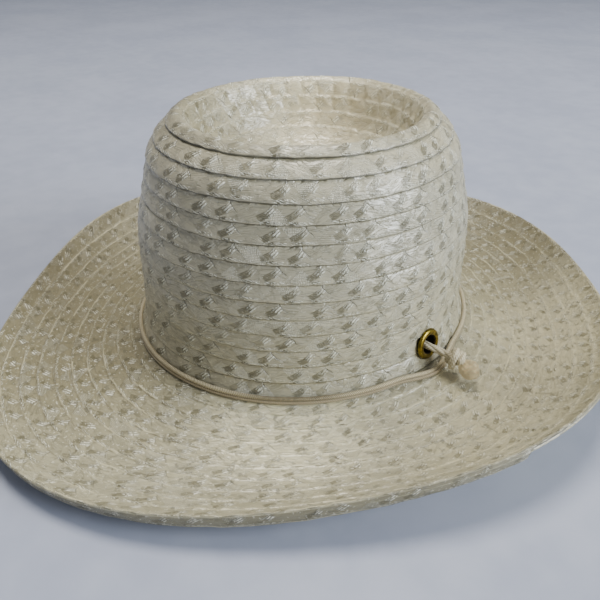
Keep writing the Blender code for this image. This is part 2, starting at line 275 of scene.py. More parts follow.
def smooth_curve(points, steps=CURVE_STEPS):
    """Points of a Catmull-Rom curve through the given points."""
    points = np.asarray(points, float)
    ends = np.vstack([2 * points[0] - points[1], points, 2 * points[-1] - points[-2]])
    a, b, c, d = (part[:, None] for part in (ends[:-3], ends[1:-2], ends[2:-1], ends[3:]))
    t = np.linspace(0, 1, steps, endpoint=False)[None, :, None]
    curve = (2 * b + (c - a) * t + (2 * a - 5 * b + 4 * c - d) * t**2 + (3 * b - a - 3 * c + d) * t**3) / 2
    return np.vstack([curve.reshape(-1, points.shape[1]), points[-1:]])


def lengths_along(points):
    return np.r_[0, np.cumsum(np.linalg.norm(np.diff(points, axis=0), axis=1))]


def along_curve(goals, lengths, curve):
    """Points of a polyline at the given lengths along it."""
    return np.stack([np.interp(goals, lengths, curve[:, k]) for k in range(curve.shape[1])], axis=-1)


def evenly_spaced(curve, step):
    """Points about that far apart along a polyline."""
    lengths = lengths_along(curve)
    goals = np.linspace(0, lengths[-1], max(int(round(lengths[-1] / step)) + 1, 2))
    return along_curve(goals, lengths, curve)


# The crown's section as (half length, half width, height), its lengths and its outward slopes
SIDE_POINTS = [
    (CROWN_LENGTH / 2 * along, CROWN_WIDTH / 2 * across, CROWN_FOOT + CROWN_RISE * height)
    for height, along, across in CROWN_SECTIONS
]
DISH_POINTS = [
    (CROWN_LENGTH / 2 * along, CROWN_WIDTH / 2 * across, HAT_HEIGHT - DISH_DEPTH * depth)
    for depth, along, across in DISH_SECTIONS
]
CROWN_LINE = smooth_curve(SIDE_POINTS + DISH_POINTS)
CROWN_LENGTHS = lengths_along(CROWN_LINE[:, [0, 2]])
SLOPES = np.gradient(CROWN_LINE, CROWN_LENGTHS, axis=0)
CROWN_OUTWARD = np.stack([SLOPES[:, 2], SLOPES[:, 2], -SLOPES[:, 0]], axis=1)
CROWN_OUTWARD /= np.hypot(SLOPES[:, 0], SLOPES[:, 2])[:, None]
CREST = CROWN_LENGTHS[CURVE_STEPS * (len(CROWN_SECTIONS) - 1)]


def oval_reach(angle, half_length, half_width):
    turn = np.radians(angle)
    return 1 / np.hypot(np.cos(turn) / half_width, np.sin(turn) / half_length)


def polar(angle, reach, height):
    turn = np.radians(angle)
    return np.stack(np.broadcast_arrays(reach * np.cos(turn), reach * np.sin(turn), height), axis=-1)


def crown_surface(length, out, angle):
    """Points at a length up the crown's section, a distance out of it, at an angle in plan."""
    plain = along_curve(length, CROWN_LENGTHS, CROWN_LINE)
    outward = along_curve(length, CROWN_LENGTHS, CROWN_OUTWARD)
    half_length, half_width, height = np.moveaxis(plain + np.expand_dims(out, -1) * outward, -1, 0)
    return polar(angle, oval_reach(angle, half_length, half_width), height)


def foot_reach(angle):
    return oval_reach(angle, CROWN_LENGTH / 2, CROWN_WIDTH / 2)


def brim_reach(angle):
    turn = np.radians(angle)
    mean = (BRIM_LENGTH + BRIM_WIDTH) / 4
    longer = (BRIM_LENGTH - BRIM_WIDTH) / 4
    return mean - longer * np.cos(2 * turn) - BRIM_DIAGONAL_DRAW * (1 - np.cos(4 * turn)) / 2


def brim_edge_height(angle):
    turn = np.radians(angle)
    lifts = SIDE_ROLL * np.cos(2 * turn) + BACK_LIFT * np.sin(turn) + RIGHT_LIFT * np.cos(turn)
    return EDGE_HEIGHT + lifts + DIAGONAL_DIP * np.cos(4 * turn)


def brim_height(share, angle):
    """Height of the brim's plain top at a share of the way from the crown's foot to the edge."""
    flat = REST_WIDTH / 2 / (brim_reach(angle) - foot_reach(angle))
    dip = VALLEY_TOP + FOOT_RISE * np.clip(1 - share / (VALLEY_SHARE - flat), 0, 1) ** 2
    rise = np.clip((share - VALLEY_SHARE - flat) / (1 - VALLEY_SHARE - flat), 0, None)
    return dip + (brim_edge_height(angle) - VALLEY_TOP) * rise**CURL_POWER


def brim_surface(share, out, angle):
    """Points at a share of the way out along the brim, a distance out of its plain top."""
    foot = foot_reach(angle)
    span = brim_reach(angle) - foot
    small = 0.004
    slope = (brim_height(share + small, angle) - brim_height(share - small, angle)) / (2 * small * span)
    run = np.sqrt(1 + slope**2)
    return polar(angle, foot + span * share - out * slope / run, brim_height(share, angle) + out / run)


def braid_relief(turns, across):
    """How far the braid stands out of its plain face: knuckles, and faint facets of its ribbons."""
    relief = np.zeros(np.broadcast(turns, across).shape)
    for start in (0.0, PAIR_GAP / PERIOD):
        along = ((turns - start + 0.5) % 1.0 - 0.5) * PERIOD
        up = across - KNUCKLE_ACROSS
        slanted = (along * 0.80 + up * 0.60) / 0.0024
        upright = (up * 0.80 - along * 0.60) / 0.0015
        relief += KNUCKLE_RISE * np.exp(-(slanted**2) - upright**2)
    leaning = np.sin(2 * math.pi * (RIBBONS * turns + 1.1 * across / BRAID_WIDTH))
    other = np.sin(2 * math.pi * (RIBBONS * turns - 1.1 * across / BRAID_WIDTH) + 1.0)
    return relief + FACET_RELIEF * (np.clip(3 * leaning, -1, 1) + np.clip(3 * other, -1, 1))


def add_object(name, data):
    made = bpy.data.objects.new(name, data)
    bpy.context.scene.collection.objects.link(made)
    return made


def wave(angle, waves, seed):
    """A gentle wander around the hat, from -1 to 1, made of whole numbers of waves."""
    draw = np.random.default_rng(seed)
    total = sum(np.sin(np.radians(angle) * count + draw.uniform(0, 2 * math.pi)) for count in waves)
    return total / len(waves)


def wrapped_grid(name, points, turns, across, capped=False):
    """A mesh of rings. Its chart coordinates are shaped (strips between rings, 2, columns + 1)."""
    rings, columns = points.shape[:2]
    strips = rings - 1 if capped else rings
    first = np.arange(strips)[:, None] * columns
    second = (np.arange(strips)[:, None] + 1) % rings * columns
    here = np.arange(columns)[None, :]
    after = (here + 1) % columns
    faces = np.stack([first + here, first + after, second + after, second + here], axis=-1).reshape(-1, 4)
    mesh = bpy.data.meshes.new(name)
    mesh.from_pydata(points.reshape(-1, 3).tolist(), [], faces.tolist())
    layer = mesh.uv_layers.new(name="braid")
    corners = np.empty((strips, columns, 4, 2), np.float32)
    for corner, (ring, shift) in enumerate(((0, 0), (0, 1), (1, 1), (1, 0))):
        corners[:, :, corner, 0] = turns[:, ring, shift:columns + shift]
        corners[:, :, corner, 1] = across[:, ring, shift:columns + shift]
    layer.data.foreach_set("uv", corners.reshape(-1))
    if capped:
        cap_ends(mesh, rings, columns)
    mesh.shade_smooth()
    mesh.update()
    return add_object(name, mesh)


def cap_ends(mesh, rings, columns):
    """Closes the first and the last ring of a grid with one face each."""
    work = bmesh.new()
    work.from_mesh(mesh)
    work.verts.ensure_lookup_table()
    work.faces.new([work.verts[i] for i in reversed(range(columns))])
    work.faces.new([work.verts[(rings - 1) * columns + i] for i in range(columns)])
    work.to_mesh(mesh)
    work.free()


class Braid:
    """Collects the rings of a braided surface, with the chart coordinates of the strip after each ring."""

    def __init__(self, columns):
        self.angles = np.arange(columns + 1) * 360.0 / columns
        self.rings = []
        self.charts = []

    def add(self, points, turns, across):
        self.rings.append(points[:-1])
        self.charts.append((turns, np.broadcast_to(across, turns.shape)))

    def build(self, name, capped=False):
        turns = []
        across = []
        strips = len(self.rings) - (1 if capped else 0)
        for index in range(strips):
            own, own_across = self.charts[index]
            other_across = self.charts[(index + 1) % len(self.charts)][1]
            if other_across[0] < own_across[0] and index + 1 < len(self.charts):
                other_across = own_across + 0.06
            turns.append((own, own))
            across.append((own_across, other_across))
        return wrapped_grid(name, np.array(self.rings), np.array(turns), np.array(across), capped)


def row_turns(angles, phase, row, length):
    """Chart coordinate along a row: whole periods round the hat, so that the row closes on itself."""
    periods = round(length / PERIOD)
    return (angles - phase) / 360.0 * periods + 50 * row


def add_crown_rows(braid, rows, end, pleated=False):
    """Lapped rows up the crown's section, each a lower edge and its first knuckle's angle."""
    edges = [start for start, _ in rows] + [end]
    for row, (start, phase) in enumerate(rows):
        width = edges[row + 1] - start
        half_length, half_width, _ = along_curve(start, CROWN_LENGTHS, CROWN_LINE)
        seed = round(start * 1e5)
        turns = row_turns(braid.angles, phase, seed % 97, math.pi * (half_length + half_width))
        wander = wave(braid.angles, (17, 31, 41, 53), seed) + 0.7 * wave(braid.angles, (5, 9), seed + 1)
        uneven = CROWN_UNEVENNESS * wave(braid.angles, (2, 3, 5, 7), round(start * 60) + 3)
        for place, out in BRIM_PROFILE if pleated and row > 0 else ROW_PROFILE:
            stretched = place * width / BRAID_WIDTH
            relief = braid_relief(turns, place) if place > 0 else 0.0
            if pleated and start + stretched > CREST:
                relief = relief + dish_pleats(turns, start + stretched - CREST)
            lapped = max(0.0, 1 - abs(place) / LAP)
            length = np.maximum(start + stretched + ROW_WAVE * wander * lapped, 0.0)
            points = crown_surface(length, out + relief + uneven, braid.angles)
            braid.add(points, turns, place / BRAID_WIDTH)


def dish_pleats(turns, depth):
    """Leaf-shaped gathers where the braid turns down into the dish."""
    fold = np.abs((RIBBONS * turns + depth / PLEAT_LEAN) % 1.0 - 0.5) * 2
    swell = math.sin(math.pi * min(depth / PLEAT_DEPTH, 1.0))
    return PLEAT_RISE * swell * (np.sqrt(1 - fold**2) - 0.6)


def add_inside(braid, start, end, row, length):
    """The crown's plain inner face between two lengths up its section."""
    for index, level in enumerate(np.linspace(start, end, INSIDE_RINGS)):
        turns = row_turns(braid.angles, INSIDE_TWIST * index, row + index, length)
        braid.add(crown_surface(level, -WALL, braid.angles), turns, level % BRAID_WIDTH / BRAID_WIDTH)


def make_crown():
    """The crown's side: lapped rows outside, a plain sewn face inside."""
    braid = Braid(CROWN_COLUMNS)
    add_crown_rows(braid, CROWN_ROWS, TIP_START)
    turns = row_turns(braid.angles, 0.0, 19, 0.52)
    braid.add(crown_surface(TIP_START + 0.0006, -0.0004, braid.angles), turns, 0.99)
    add_inside(braid, TIP_START + 0.0015, 0.0, 20, 0.52)
    return braid.build("crown")


def make_crown_tip():
    """The crown's crest and dished top: its outermost row laps over the side."""
    braid = Braid(TIP_COLUMNS)
    total = CROWN_LENGTHS[-1]
    add_inside(braid, total, TIP_START, 60, 0.30)
    count = round((total - TIP_START) / BRAID_WIDTH)
    rows = [
        (TIP_START + (total - TIP_START) * index / count, CROWN_ROWS[-1][1] + TIP_ROW_DRIFT * (index + 1))
        for index in range(count)
    ]
    add_crown_rows(braid, rows, total, pleated=True)
    return braid.build("crown_tip", capped=True)


def lip_drop(angles):
    """Drop of the turned-down braid below the brim's edge at each angle."""
    from_start = (angles - LIP_START) % 360.0
    grown = np.clip(from_start / LIP_GROWTH, 0, 1)
    drop = LIP_LEAST + (LIP_DROP - LIP_LEAST) * grown**2 * (3 - 2 * grown)
    return np.where(from_start > TAIL_ANGLE - LIP_START, LIP_LEAST, drop)


def make_brim():
    """The brim: lapped rows on top from its edge in to the crown's foot, a plain sewn face below."""
    braid = Braid(BRIM_COLUMNS)
    angles = braid.angles
    span = brim_reach(angles) - foot_reach(angles)
    uneven = BRIM_UNEVENNESS / 2 * wave(angles, (3, 4, 7, 11), 5)
    for row in reversed(range(BRIM_ROWS)):
        edge = (row + 1) / BRIM_ROWS
        phase = BRIM_FIRST_PHASE + BRIM_ROW_DRIFT * row
        middle = float(np.mean(foot_reach(angles) + span * edge))
        turns = row_turns(angles, phase, 100 + row, 2 * math.pi * middle)
        wander = ROW_WAVE * wave(angles, (17, 29, 43, 61), 200 + row) * (row + 1 < BRIM_ROWS)
        for place, out in BRIM_PROFILE[1 if row + 1 == BRIM_ROWS else 0:]:
            width = span / BRIM_ROWS * (place / BRAID_WIDTH)
            relief = braid_relief(turns, place) if place > 0 else 0.0
            lapped = max(0.0, 1 - abs(place) / LAP)
            share = edge - (width + wander * lapped) / span
            points = brim_surface(share, out + relief, angles)
            points[:, 2] += uneven * share**2
            braid.add(points, turns, place / BRAID_WIDTH)
    foot = foot_reach(angles)
    turns = row_turns(angles, 0.0, 130, 0.56)
    for reach, height in ((foot - WALL * 0.6, FOOT_TOP), (foot - WALL, FOOT_TOP - WALL)):
        braid.add(polar(angles, reach, height), turns, 0.9)
    for index in range(1, INSIDE_RINGS + 1):
        share = 0.985 * index / INSIDE_RINGS
        turns = row_turns(angles, INSIDE_TWIST * index, 140 + index, 0.8)
        points = brim_surface(share, -WALL * 0.98, angles)
        points[:, 2] += uneven * share**2
        points[:, 2] = np.maximum(points[:, 2], 0.00002)
        braid.add(points, turns, share * BRIM_ROWS % 1.0)
    add_lip(braid, uneven)
    return braid.build("brim")


def add_lip(braid, uneven):
    """The last stretch of braid, turned down below the brim's edge, from inside round to the top."""
    angles = braid.angles
    drop = lip_drop(angles)
    edge = brim_reach(angles)
    height = brim_edge_height(angles) + uneven
    ruffle = 0.0003 * wave(angles, (23, 37, 71, 97), 9) * (drop > LIP_LEAST * 2)
    turns = row_turns(angles, 5.0, 180, 1.07)
    bottom = height - WALL - drop + ruffle
    lean = LIP_LEAN * drop
    spots = [
        # reach, height, across
        (edge - WALL, height - WALL, 1.0),
        (edge - lean - WALL * 0.9, bottom + 0.0004, 0.30),
        (edge - lean - WALL * 0.5, bottom - 0.0001, 0.10),
        (edge - lean - WALL * 0.1, bottom + 0.0002, 0.04),
        (edge - lean * 0.66, bottom + (height - bottom) * 0.33, 0.30),
        (edge - lean * 0.33 + 0.0002, bottom + (height - bottom) * 0.66, 0.60),
        (edge + ROW_STEP * 0.3, height - 0.0003, 0.90),
    ]
    for reach, level, across in spots:
        braid.add(polar(angles, reach, level), turns, across)


# Materials

class Value:
    """A number, vector or colour in a node material. Arithmetic and methods add nodes to it."""

    def __init__(self, graph, socket):
        self.graph = graph
        self.socket = socket

    def math(self, operation, *others):
        return self.graph.add("Math", (self, *others), operation=operation)

    def __add__(self, other):
        return self.math("ADD", other)

    def __sub__(self, other):
        return self.math("SUBTRACT", other)

    def __rsub__(self, other):
        return self.graph.add("Math", (other, self), operation="SUBTRACT")

    def __mul__(self, other):
        return self.math("MULTIPLY", other)

    def __truediv__(self, other):
        return self.math("DIVIDE", other)

    def __abs__(self):
        return self.math("ABSOLUTE")

    def ramp(self, low, high, to_low=0.0, to_high=1.0):
        """A smooth step from one level to another."""
        levels = (self, low, high, to_low, to_high)
        return self.graph.add("MapRange", levels, interpolation_type="SMOOTHSTEP")

    def stripes(self, pitch):
        """A wave from 0 to 1 with that pitch."""
        return (self * (2 * math.pi / pitch)).math("SINE") * 0.5 + 0.5

    def chance(self):
        """A number from 0 to 1 that is the same wherever this value is."""
        return self.graph.add("TexWhiteNoise", {"W": self}, "Value", noise_dimensions="1D")

    def noise(self, scale, detail=2.0):
        return self.graph.add("TexNoise", {"Vector": self, "Scale": scale, "Detail": detail})

    def split(self):
        """This vector's three coordinates."""
        node = self.graph.add("SeparateXYZ", (self,)).socket.node
        return [Value(self.graph, socket) for socket in node.outputs]

    def nearness(self, centre, reach):
        """1 close to a place in plan, falling to 0 at that distance from it."""
        squares = [(part - start).math("POWER", 2.0) for part, start in zip(self.split(), centre)]
        return (squares[0] + squares[1]).math("SQRT").ramp(reach, reach * 0.3)


def opaque(colour):
    return colour if isinstance(colour, Value) else (*colour, 1.0)


def tinted(colour, red, green, blue):
    """A colour with its three parts scaled, and kept to 1 at most."""
    return [min(part * share, 1.0) for part, share in zip(colour, (red, green, blue))]


class Graph:
    """A node material under construction."""

    def __init__(self, name):
        self.material = bpy.data.materials.new(name)
        self.material.use_nodes = True
        self.tree = self.material.node_tree
        self.shader = self.tree.nodes["Principled BSDF"]

    def feed(self, socket, value):
        if isinstance(value, Value):
            self.tree.links.new(value.socket, socket)
        else:
            socket.default_value = value

    def shade(self, **values):
        """Sets or links the shader's sockets, named with underscores for spaces."""
        for name, value in values.items():
            self.feed(self.shader.inputs[name.replace("_", " ")], value)

    def add(self, kind, values=(), output=0, **settings):
        """Adds a node with those settings, feeds its sockets in order or by name, and gives one output."""
        node = self.tree.nodes.new("ShaderNode" + kind)
        for name, value in settings.items():
            setattr(node, name, value)
        for key, value in values.items() if isinstance(values, dict) else enumerate(values):
            self.feed(node.inputs[key], value)
        return Value(self, node.outputs[output])

    def mix(self, share, first, second):
        parts = {"Factor": share, "A": opaque(first), "B": opaque(second)}
        return self.add("Mix", parts, "Result", data_type="RGBA")

    def chart(self):
        """The braid's chart coordinates: turns along the row and place across it."""
        return self.add("UVMap", uv_map="braid").split()[:2]

    def spot(self):
        return self.add("TexCoord", output="Object")

    def steepness(self):
        """1 on upright faces, falling to 0 on those that lean more than halfway to level."""
        level = abs(self.add("NewGeometry", output="True Normal").split()[2])
        return level.ramp(0.70, 0.35)

    def bump(self, height, distance):
        return self.add("Bump", {"Height": height, "Distance": distance, "Strength": 1.0})


def lozenge(place, half_along, half_across, soft):
    """1 in a box about the start of a place's two coordinates, falling to 0 past its sides."""
    reach = (abs(place[0]) / half_along).math("MAXIMUM", abs(place[1]) / half_across)
    return reach.ramp(1.0 + soft, 1.0 - soft)


def turned(along, up, degrees, centre):
    """Coordinates along and across a direction, from a centre."""
    a = along - centre[0]
    b = up - centre[1]
    c, s = math.cos(math.radians(degrees)), math.sin(math.radians(degrees))
    return a * c + b * s, b * c - a * s


# How strongly each part of the braid shows, from 0 to 1, and its sizes, gloss and places
CROWN_LOOK = {
    "facet": 0.88, "facet_size": 1.0, "strokes": 0.95, "hem": 0.80, "notch": 0.75, "cells": 0.22,
    "fibres": 0.26, "gauze": 0.60, "crevice_shade": 0.85, "edge": 0.25, "sparkle": 0.20, "dim": 0.30, "rim": 0.0,
    "roughness": 0.33, "painted_shade": CROWN_PAINTED_SHADE, "painted_light": CROWN_PAINTED_LIGHT, "smooth": CROWN_SMOOTH,
}
BRIM_LOOK = {
    "facet": 0.70, "facet_size": 0.8, "strokes": 0.90, "hem": 0.70, "notch": 0.30, "cells": 0.15,
    "fibres": 0.26, "gauze": 0.35, "crevice_shade": 0.12, "edge": 0.70, "sparkle": 0.40, "dim": 0.55, "rim": 0.9,
    "roughness": 0.36, "painted_shade": BRIM_PAINTED_SHADE, "painted_light": BRIM_PAINTED_LIGHT, "smooth": [],
}


def braid_material(name, straw, look):
    """Glossy ribbon braid in tints of the straw's colour, drawn in millimetres on its chart."""
    graph = Graph(name)
    dark = tinted(straw, 0.27, 0.265, 0.22)
    black = tinted(straw, 0.13, 0.125, 0.09)
    cream = tinted(straw, 1.75, 1.75, 1.75)
    # A darker, tanner tint of the straw, for painted shade.
    painted_shade = tinted(straw, 0.50, 0.47, 0.37)
    bright = [min(part * 1.3 + 0.44, 1.0) for part in straw]
    turns, across = graph.chart()
    spot = graph.spot()
    up = across * (BRAID_WIDTH * 1000)
    near, which, is_second = nearest_knuckle(turns * (PERIOD * 1000))
    luck = which.chance()
    other_luck = (which + 0.5).chance()
    speckle = spot.noise(1000.0, 3.0)
    blotch = spot.noise(30.0)
    wobble = (spot.noise(300.0) - 0.5) * 2.4
    near = near + (wobble + (other_luck - 0.5) * 2.2)
    high = up + wobble * 0.4 + (luck - 0.5)

    facet = knuckle_facet(near, high, luck, look["facet_size"])
    facet = facet * spot.noise(420.0, 3.0).ramp(0.34, 0.50, 0.55, 1.0)
    for centre, reach, share in look["smooth"]:
        facet = facet * (1.0 - spot.nearness(centre, reach) * share)
    strokes = knuckle_strokes(near, high, other_luck, speckle)
    hem = hem_dashes(near, high, speckle)
    notch = ribbon_notch(near, high, is_second, luck)
    cell_tone, cell_edge, fibres, gauze = ribbon_cells(graph, turns, across, near, up)
    # Near-black lines of painted shade in the crevices under each row's lower edge and where its top tucks
    # under the next row.
    below = up.ramp(0.12, -0.20)
    above = up.ramp(BRAID_WIDTH * 1000 - 0.9, BRAID_WIDTH * 1000 - 0.15)
    crevice_shade = below.math("MAXIMUM", above) * blotch.ramp(0.30, 0.52, 0.55, 1.0)
    edge = abs(high - 0.35).ramp(0.60, 0.15) * blotch.ramp(0.42, 0.60)
    sparkle = spot.noise(760.0, 1.0).ramp(0.64, 0.70)
    dim = spot.noise(250.0).ramp(0.40, 0.33)

    layers = [(spot.nearness(centre, reach), share, painted_shade) for centre, reach, share in look["painted_shade"]]
    # Cream patches of painted light, where light falls brightest.
    layers += [(spot.nearness(centre, reach), share, cream) for centre, reach, share in look["painted_light"]]
    layers += [
        # mask, share, colour
        # Painted shade on the brim's upright faces, such as its turned-down lip.
        (graph.steepness(), look["rim"], painted_shade),
        (fibres, look["fibres"], dark),
        (cell_edge, look["cells"], dark),
        (gauze, look["gauze"], bright),
        (facet, look["facet"], dark),
        (notch, look["notch"], black),
        (hem, look["hem"], bright),
        (strokes, look["strokes"], bright),
        (dim, look["dim"], dark),
        (sparkle, look["sparkle"], bright),
        (edge, look["edge"], cream),
        (crevice_shade, look["crevice_shade"], black),
    ]
    tone = graph.mix(cell_tone.ramp(0.0, 1.0), [part * 0.9 for part in straw], [part * 1.1 for part in straw])
    for mask, share, colour in layers:
        tone = graph.mix(mask * share, tone, colour)

    raised = strokes * 0.9 + hem * 0.7 + cell_tone * 0.35 + gauze * 0.4
    height = raised - fibres * 0.3 - facet * 0.3 - notch * 0.6
    graph.shade(Base_Color=tone, Roughness=look["roughness"], Normal=graph.bump(height, 0.0006))
    graph.shade(Specular_IOR_Level=facet.ramp(0.2, 0.7, 1.0, 0.5), IOR=1.6)
    graph.shade(Anisotropic=0.7, Anisotropic_Rotation=0.25)
    graph.shade(Tangent=graph.add("Tangent", direction_type="UV_MAP", uv_map="braid"))
    return graph.material


def nearest_knuckle(along):
    """Distance along the row from the nearest knuckle, its number, and whether it is a second one."""
    half = PERIOD * 1000 / 2
    to_first = along.math("WRAP", half, -half)
    to_second = (along - PAIR_GAP * 1000).math("WRAP", half, -half)
    is_second = abs(to_first).math("GREATER_THAN", abs(to_second))
    near = to_first + (to_second - to_first) * is_second
    return near, ((along - near) / (PAIR_GAP * 500)).math("ROUND"), is_second


def knuckle_facet(near, high, luck, size):
    """The shaded lozenge of a knuckle, where a ribbon dips under its neighbour, and the spot below it."""
    place = turned(near, high, 30.0, (-1.9, 3.5))
    facet = lozenge(place, 2.9 * size, 1.45 * size, 0.20)
    facet = facet * place[1].stripes(0.62).ramp(0.0, 1.0, 1.0, 0.72)
    spot = lozenge(turned(near, high, 15.0, (-1.2, 0.75)), 1.7 * size, 0.55 * size, 0.3)
    return facet.math("MAXIMUM", spot) * luck.ramp(0.0, 0.5, 0.5, 1.0)


def knuckle_strokes(near, high, luck, speckle):
    """A few oblique folds at the knuckle's upper right, raised in the bump and painted bright as glints."""
    place = turned(near, high, 46.0, (0.9, 4.9))
    lines = place[1].stripes(1.20).ramp(0.15, 0.55)
    strokes = lozenge(place, 1.7, 1.5, 0.35) * (lines * speckle.ramp(0.36, 0.52))
    return strokes * luck.ramp(0.0, 0.6, 0.4, 1.0)


def hem_dashes(near, high, speckle):
    """Painted glints: fine bright dashes along the row's lower edge below a knuckle, also raised in the bump.
    """
    first, second = turned(near, high, 28.0, (0.4, 0.75))
    lines = (first + second).stripes(1.20).ramp(0.25, 0.65)
    return lozenge((near - 0.8, high - 0.8), 4.6, 0.66, 0.25) * (lines * speckle.ramp(0.40, 0.56))


def ribbon_notch(near, high, is_second, luck):
    """A thin dark slit down to the right from the row's top edge, beside the second knuckle of a pair."""
    slit = lozenge(turned(near, high, -46.0, (2.6, 6.0)), 2.5, 0.17, 0.5)
    return slit * (is_second * luck.ramp(0.10, 0.35))


def ribbon_cells(graph, turns, across, near, up):
    """Crossed ribbons: a tone for each lozenge between them, its thin edges, its fibres and its gauze."""
    lean = turns * RIBBONS + across * 0.86
    other = turns * RIBBONS - across * 0.86 + 0.37
    number = lean.math("FLOOR") * 1.31 + other.math("FLOOR") * 7.77
    tone = number.chance()
    tilt = (number + 0.29).chance()
    edges = [abs(value.math("FRACT") - 0.5) for value in (lean, other)]
    edge = edges[0].math("MAXIMUM", edges[1]).ramp(0.470, 0.495) * tilt.ramp(0.3, 0.7, 0.15, 1.0)
    thread = up + near * ((tilt - 0.5) * 1.1)
    fibres = graph.add("CombineXYZ", (near * 0.16, thread * 2.6, number * 0.77)).noise(1.0)
    weave = near.stripes(0.62) * up.stripes(0.66).ramp(0.2, 0.8)
    return tone, edge, fibres.ramp(0.50, 0.66), weave * tone.ramp(0.80, 0.86)


def fibre_material(name, light, dark, waves, roughness, soil=None, herringbone=False, painted_glow=0.0):
    """Thread or cord: fine slanting fibres, drawn from chart coordinates along the strand and round it.

    waves are the fibres in a unit of each coordinate. soil is a colour, a place in plan and its reach.
    The last argument sets a painted glow in the light fibre colour, standing in for the light that comes
    through a loose bundle of fibres.
    """
    graph = Graph(name)
    along, around = graph.chart()
    spot = graph.spot()
    if herringbone:
        around = abs(around.math("WRAP", 0.5, -0.5))
    fibres = (along * waves[0] + around * waves[1]).stripes(1.0)
    fuzz = spot.noise(1400.0, 3.0)
    tone = graph.mix(fibres * fuzz.ramp(0.25, 0.6, 0.5, 1.0), dark, light)
    tone = graph.mix(spot.noise(70.0, 3.0).ramp(0.45, 0.72) * 0.25, tone, dark)
    if soil:
        colour, centre, reach = soil
        soiled = spot.nearness(centre, reach) * fuzz.ramp(0.35, 0.6, 0.3, 0.8)
        tone = graph.mix(soiled, tone, colour)
    graph.shade(Base_Color=tone, Roughness=roughness, Normal=graph.bump(fibres + fuzz * 0.8, 0.00012))
    graph.shade(Sheen_Weight=0.2, Sheen_Roughness=0.4)
    # A painted glow in the light fibre colour, standing in for light that comes through the bundle.
    graph.shade(Emission_Color=(*light, 1.0), Emission_Strength=painted_glow)
    return graph.material


def brass_material():
    """Antique brass: olive-dark patina, rubbed brighter in places, with fine scratches."""
    graph = Graph("antique_brass")
    spot = graph.spot()
    patina = spot.noise(420.0, 4.0).ramp(0.35, 0.70)
    tone = graph.mix(patina, (0.30, 0.22, 0.035), (0.09, 0.07, 0.012))
    graph.shade(Base_Color=tone, Metallic=1.0, Roughness=patina.ramp(0.0, 1.0, 0.26, 0.40))
    graph.shade(Normal=graph.bump(spot.noise(2600.0), 0.00003))
    return graph.material


def throat_material():
    """The eyelet's throat, nearly black: patina with painted shade in the hollow."""
    graph = Graph("brass_throat")
    grime_and_shade = graph.spot().noise(700.0, 3.0).ramp(0.35, 0.65)
    tone = graph.mix(grime_and_shade, (0.030, 0.020, 0.006), (0.012, 0.009, 0.004))
    graph.shade(Base_Color=tone, Metallic=0.6, Roughness=0.5)
    return graph.material


def floor_material():
    """Pale matt table top with a faint mottle."""
    graph = Graph("table_top")
    spot = graph.spot()
    mottle = spot.noise(9.0, 4.0) * 0.6 + spot.noise(60.0, 4.0) * 0.4
    tone = graph.mix(mottle.ramp(0.35, 0.65), (0.35, 0.38, 0.48), (0.41, 0.44, 0.54))
    graph.shade(Base_Color=tone, Roughness=0.55)
    return graph.material


# Cords, threads and metal

def carried_frames(path):
    """Two directions square to a path at each of its points, carried along it without twist."""
    along = np.gradient(path, axis=0)
    along /= np.linalg.norm(along, axis=1)[:, None]
    first = np.cross(along[0], (0.0, 0.0, 1.0))
    if np.linalg.norm(first) < 0.1:
        first = np.cross(along[0], (1.0, 0.0, 0.0))
    firsts = []
    for direction in along:
        first = first - direction * np.dot(first, direction)
        first = first / np.linalg.norm(first)
        firsts.append(first)
    firsts = np.array(firsts)
    return firsts, np.cross(along, firsts)


def tube_grid(centres, first, second, radius, sides):
    """Rings of a tube: points shaped (stations, sides, 3)."""
    angles = (np.arange(sides) * 2 * math.pi / sides)[:, None]
    radius = np.broadcast_to(radius, (len(centres),))[:, None, None]
    return centres[:, None] + (first[:, None] * np.cos(angles) + second[:, None] * np.sin(angles)) * radius


class Pieces:
    """Tubes gathered into one mesh, with chart coordinates and material numbers."""

    def __init__(self):
        self.points = []
        self.faces = []
        self.corners = []
        self.slots = []
        self.count = 0

    def tube(self, grid, along, slot=0, closed=False):
        """Adds a tube. along is the chart coordinate of each ring, and of its end too if it is closed."""
        stations, sides = grid.shape[:2]
        self.points.append(grid.reshape(-1, 3))
        spans = stations if closed else stations - 1
        for i in range(spans):
            j = (i + 1) % stations
            for k in range(sides):
                m = (k + 1) % sides
                self.faces.append((self.count + i * sides + k, self.count + i * sides + m,
                                   self.count + j * sides + m, self.count + j * sides + k))
                self.corners += [along[i], k / sides, along[i], (k + 1) / sides,
                                 along[i + 1], (k + 1) / sides, along[i + 1], k / sides]
        self.slots += [slot] * spans * sides
        if not closed:
            for ring, order in ((0, -1), (stations - 1, 1)):
                self.faces.append(tuple(self.count + ring * sides + k for k in range(sides))[::order])
                self.corners += [along[ring], 0.5] * sides
                self.slots.append(slot)
        self.count += stations * sides

    def build(self, name, materials):
        mesh = bpy.data.meshes.new(name)
        mesh.from_pydata(np.vstack(self.points).tolist(), [], self.faces)
        mesh.uv_layers.new(name="braid").data.foreach_set("uv", np.array(self.corners, np.float32))
        for item in materials:
            mesh.materials.append(item)
        mesh.polygons.foreach_set("material_index", self.slots)
        mesh.shade_smooth()
        mesh.update()
        return add_object(name, mesh)


def add_strands(pieces, path, radius, strands, lay, sides, step):
    """Strands that wind round a path, as a cord of that radius."""
    path = evenly_spaced(path, step)
    first, second = carried_frames(path)
    lengths = lengths_along(path)
    for strand in range(strands):
        turn = (2 * math.pi * (lengths / lay + strand / strands))[:, None]
        centres = path + (first * np.cos(turn) + second * np.sin(turn)) * radius * 0.52
        pieces.tube(tube_grid(centres, first, second, radius * 0.55, sides), lengths * 1000)


